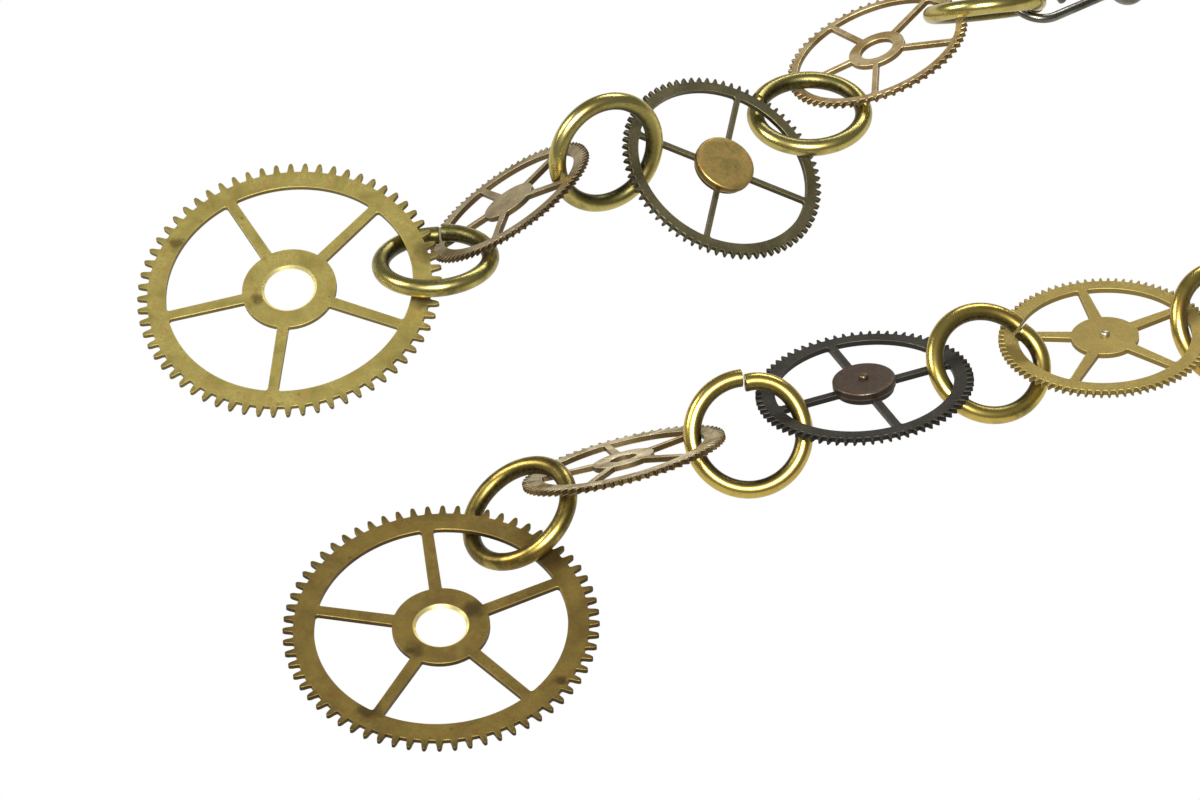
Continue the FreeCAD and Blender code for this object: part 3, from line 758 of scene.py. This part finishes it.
# %% Rings
ring_across = 8.0
ring_wire = 1.1
pressed_shut = 0.12              # width of a cut that nobody has sprung open
usual_offset = 0.1
rings = {
    "front_jump_ring_1": dict(cut=168, patina=0.55),
    "front_jump_ring_2": dict(cut=97, gape=0.2, offset=0.3, bend=0.35, patina=0.36),
    "front_jump_ring_3": dict(cut=54, gape=0.3, offset=0.5, bend=0.4, patina=0.4),
    "front_jump_ring_4": dict(cut=-60, patina=0.34),
    "rear_jump_ring_1": dict(cut=86, gape=0.25, offset=0.2, patina=0.48),
    "rear_jump_ring_2": dict(cut=-129, patina=0.4),
    "rear_jump_ring_3": dict(cut=160, patina=0.42),
    "rear_jump_ring_4": dict(cut=15, patina=0.36),
}
for number, (node, ring) in enumerate(rings.items()):
    bright, warm, dark = ring_colours[node.split("_")[0]]
    metal = wire_finish(node + "_finish", bright, warm, dark, seed=3.0 * number + 1.0,
                        cover=ring["patina"])
    mesh = run_tree(ring_tree, node, {
        "Centre Radius": (ring_across - ring_wire) / 2, "Wire Radius": ring_wire / 2,
        "Cut Heading": math.radians(ring["cut"]), "Cut Width": ring.get("gape", pressed_shut),
        "Offset": ring.get("offset", usual_offset), "Bend": ring.get("bend", 0.0), "Points": 160,
        "Metal": metal})
    show(mesh, node, node, node + "_body", crease=50)

# %% [markdown]
# ## Discs, pivots and beads
#
# These are turned on a lathe, so their shape is a profile spun round an axis. A few lines of mesh
# code do it: one ring of points for each point of the profile, joined to the next ring.

# %% Turned pieces
def turned(name, profile, steps, metal, hollow=False):
    """Solid of revolution about Z. Each profile point is (radius, height), in millimetres."""
    work = bmesh.new()
    loops = []
    for radius, height in profile:
        if radius == 0:
            loops.append([work.verts.new((0, 0, height))] * steps)
            continue
        angles = [math.tau * step / steps for step in range(steps)]
        loops.append([work.verts.new((radius * math.cos(a), radius * math.sin(a), height))
                      for a in angles])
    pairs = list(zip(loops, loops[1:] + loops[:1])) if hollow else list(zip(loops, loops[1:]))
    for low, high in pairs:
        for step in range(steps):
            after = (step + 1) % steps
            corners = [low[step], low[after], high[after], high[step]]
            work.faces.new(dict.fromkeys(corners))
    mesh = bpy.data.meshes.new(name)
    work.to_mesh(mesh)
    work.free()
    mesh.materials.append(metal)
    mark_place(mesh)
    return mesh


def mark_place(mesh):
    """Writes each point's own place into the mesh, for the finish to follow."""
    place = mesh.attributes.new("place", "FLOAT_VECTOR", "POINT")
    for v in mesh.vertices:
        place.data[v.index].vector = v.co


def rounded_rod(radius, half, rounding, steps=5):
    """Profile of a rod with rounded ends, from the bottom to the top."""
    quarter = [math.pi / 2 * step / steps for step in range(steps + 1)]
    low = [(radius - rounding + rounding * math.sin(a), -half + rounding - rounding * math.cos(a))
           for a in quarter]
    return [(0, -half)] + low + [(r, -h) for r, h in reversed(low)] + [(0, half)]


disc_thickness = 0.5
disc_round = 0.15
disc_share = 0.29
turned_look = dict(root=50.0, tip=60.0, dirty=0.0)
disc_looks = {
    "front_wheel_3_disc": ("brown_bronze", dict(
        clean=srgb(88, 74, 60), aged=srgb(74, 62, 52), tint=srgb(100, 72, 54),
        dirt=srgb(40, 33, 27),
        edge=srgb(120, 102, 82), seed=9.0, patch=0.9, metal=0.75, edge_share=0.3)),
    "rear_wheel_3_disc": ("disc_brass", dict(
        clean=srgb(180, 152, 86), aged=srgb(136, 122, 68), tint=srgb(178, 128, 72),
        dirt=srgb(76, 60, 32), edge=srgb(150, 128, 76), seed=10.0, patch=0.8)),
}
for node, (slot, look) in disc_looks.items():
    wheel = node.removesuffix("_disc")
    radius = wheels[wheel]["across"] / 2 * disc_share
    half = disc_thickness / 2
    quarter = [math.pi / 2 * step / 5 for step in range(6)]
    rounded = [(radius - disc_round * (1 - math.cos(a)), half - disc_round * (1 - math.sin(a)))
               for a in quarter]
    inner = [(radius * share, half) for share in (0.8, 0.55, 0.3)]
    profile = [(0, -half), (radius, -half)] + rounded + inner + [(0, half)]
    metal = wheel_finish(node + "_finish", **look, **turned_look)
    show(turned(node, profile, 96, metal), node, wheel, wheel + "_body")

pivot_radius = 0.3
pivot_round = 0.2
pivot_out = 0.45                 # how far it stands out above and below together
pivot_looks = {
    "front_wheel_3": (sheet_thickness + disc_thickness + pivot_out, dict(
        clean=srgb(128, 108, 84), aged=srgb(96, 80, 62), tint=srgb(120, 88, 60),
        dirt=srgb(50, 42, 32), edge=srgb(160, 142, 116))),
    "front_wheel_4": (sheet_thickness + pivot_out, dict(
        clean=srgb(206, 198, 176), aged=srgb(170, 160, 134), tint=srgb(190, 166, 120),
        dirt=srgb(90, 78, 56), edge=srgb(240, 234, 214))),
}
for wheel, (height, look) in pivot_looks.items():
    metal = wheel_finish(wheel + "_pivot_finish", rough=(0.22, 0.36), patch=1.5, wall=0.2, **look,
                         **turned_look)
    profile = rounded_rod(pivot_radius, height / 2, pivot_round)
    show(turned(wheel + "_pivot", profile, 32, metal), wheel + "_pivot", wheel,
         wheel + "_body")

# %% [markdown]
# ## The ear wires
#
# An ear wire is one length of 0.6 mm wire: a loop for the last jump ring, a straight stem, the
# hook over the ear and the back leg. A curve object with a round bevel is the plain way to make
# bent wire, because the bend is only a list of points. A small bead sits on the stem.

# %% Ear wires and beads
ear_wire_radius = 0.3
loop_radius = 1.6
loop_sweep = 290
stem = 11.0
hook_radius = 5.0
hook_sweep = 184
tail = 11.0
bead_radius = 1.3


def arc(centre, radius, first, last, steps):
    """Points of an arc between two headings in degrees."""
    headings = [math.radians(first + (last - first) * step / steps) for step in range(steps + 1)]
    return [Vector((centre[0] + radius * math.cos(a), centre[1] + radius * math.sin(a), 0))
            for a in headings]


def ear_wire_path(side):
    """Centre line of the ear wire, flat, with its loop round the origin."""
    loop = arc((0, 0), loop_radius, side * (-90 - loop_sweep), side * -90, 56)
    stem_end = loop[-1] + Vector((stem, 0, 0))
    hook_centre = stem_end + Vector((0, side * hook_radius, 0))
    hook = arc(hook_centre, hook_radius, side * -90, side * (-90 + hook_sweep), 60)
    out = math.radians(side * hook_sweep)
    tail_end = hook[-1] + tail * Vector((math.cos(out), math.sin(out), 0))
    stem_run = [loop[-1].lerp(stem_end, share / 12) for share in range(1, 12)]
    tail_run = [hook[-1].lerp(tail_end, share / 12) for share in range(1, 13)]
    return loop + stem_run + hook + tail_run


def bent_wire(name, points, radius, metal, turn):
    """Round wire along some points, as a closed mesh."""
    curve = bpy.data.curves.new(name, "CURVE")
    curve.dimensions = "3D"
    curve.bevel_depth = radius
    curve.bevel_resolution = 6
    curve.use_fill_caps = True
    line = curve.splines.new("POLY")
    line.points.add(len(points) - 1)
    for spot, point in zip(line.points, points):
        spot.co = (*point, 1)
    line.points[-1].radius = 0.75
    holder = bpy.data.objects.new(name, curve)
    bpy.context.scene.collection.objects.link(holder)
    evaluated = holder.evaluated_get(bpy.context.evaluated_depsgraph_get())
    mesh = bpy.data.meshes.new_from_object(evaluated)
    bpy.data.objects.remove(holder)
    work = bmesh.new()
    work.from_mesh(mesh)
    bmesh.ops.remove_doubles(work, verts=work.verts, dist=0.0005)
    work.to_mesh(mesh)
    work.free()
    mesh.transform(Matrix.Rotation(turn, 4, "Z"))
    mesh.materials.clear()
    mesh.materials.append(metal)
    mark_place(mesh)
    return mesh


for strand, heading, side in (("front", 15, -1), ("rear", 38, 1)):
    node = strand + "_ear_wire"
    turn = math.radians(heading)
    wire = bent_wire(node, ear_wire_path(side), ear_wire_radius, ear_wire_grey, turn)
    show(wire, node, node, node + "_body", crease=50)
    reach = math.asin(ear_wire_radius / bead_radius)
    round_side = [reach + (math.pi - 2 * reach) * step / 32 for step in range(33)]
    profile = [(bead_radius * math.sin(a), bead_radius * math.cos(a)) for a in round_side]
    bead = turned(node + "_ball", profile, 48, ear_wire_grey, hollow=True)
    bead.transform(Matrix.Rotation(turn, 4, "Z") @ Matrix.Rotation(math.pi / 2, 4, "Y"))
    show(bead, node + "_ball", node, node + "_body", crease=50)

# %% [markdown]
# ## Floor and light
#
# The earrings lie on a white table in soft studio light. The table is bright enough to lose every
# shadow, and it throws light up under the metal. The main light is a softbox above the camera,
# which draws the bright streaks along the round wire. The room behind stays dim, so the flat
# faces of the wheels show their own colour.

# %% Floor, lights and the room
half_floor = 1.5
table_in_metal = (240, 238, 232)     # how bright the table looks in the metal
floor_mesh = bpy.data.meshes.new("table")
corners = [(-half_floor, -half_floor, 0), (half_floor, -half_floor, 0),
           (half_floor, half_floor, 0), (-half_floor, half_floor, 0)]
floor_mesh.from_pydata(corners, [], [(0, 1, 2, 3)])
floor = bpy.data.objects.new("table", floor_mesh)
bpy.context.scene.collection.objects.link(floor)
white = Finish("white_table")
seen = white.add("ShaderNodeLightPath").outputs["Is Camera Ray"]
glow = white.tint(seen, srgb(*table_in_metal), (1.0, 1.0, 1.0, 1.0))
floor_mesh.materials.append(white.close(
    Base_Color=(0.0, 0.0, 0.0, 1.0), Roughness=1.0, Specular_IOR_Level=0.0, Emission_Color=glow,
    Emission_Strength=1.0))


def softbox(name, place, aim, width, height, power, colour=(1.0, 1.0, 1.0)):
    """A rectangular lamp that faces a point."""
    lamp = bpy.data.lights.new(name, "AREA")
    lamp.shape = "RECTANGLE"
    lamp.size = width
    lamp.size_y = height
    lamp.energy = power
    lamp.color = colour
    holder = bpy.data.objects.new(name, lamp)
    holder.location = place
    holder.rotation_euler = (Vector(aim) - Vector(place)).to_track_quat("-Z", "Y").to_euler()
    bpy.context.scene.collection.objects.link(holder)


softbox("softbox_above_camera", (-0.05, -0.42, 0.62), (0, 0, 0), 0.3, 0.16, 11.0)
softbox("softbox_left", (-0.6, 0.05, 0.45), (0, 0, 0), 0.3, 0.3, 3.0)
softbox("softbox_behind", (0.25, 0.7, 0.5), (0, 0, 0), 0.5, 0.2, 2.5)

world = bpy.data.worlds.new("room")
bpy.context.scene.world = world
world.use_nodes = True
world.node_tree.nodes["Background"].inputs["Color"].default_value = (0.9, 0.93, 1.0, 1.0)
world.node_tree.nodes["Background"].inputs["Strength"].default_value = 0.2

# %% [markdown]
# ## Camera
#
# A long lens from half above flattens the perspective, as in a product picture. The camera stands
# 560 mm from a point on the table beside the front earring's big wheel.

# %% Camera
wheel_low, wheel_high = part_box("front_big_wheel")
beside_wheel = Vector((0.0096, 0.0205, 0.0))
target = (wheel_low + wheel_high) / 2 + beside_wheel
target.z = 0.0
camera_distance = 0.56
elevation = math.radians(45)
camera = bpy.data.objects.new("camera", bpy.data.cameras.new("camera"))
camera.data.sensor_width = 36
camera.data.lens = 270.5
camera.data.clip_start = 0.01
camera.location = target + camera_distance * Vector((0, -math.cos(elevation), math.sin(elevation)))
camera.rotation_euler = (math.pi / 2 - elevation, 0, 0)
bpy.context.scene.collection.objects.link(camera)
bpy.context.scene.camera = camera
bpy.context.scene.view_settings.view_transform = "Standard"
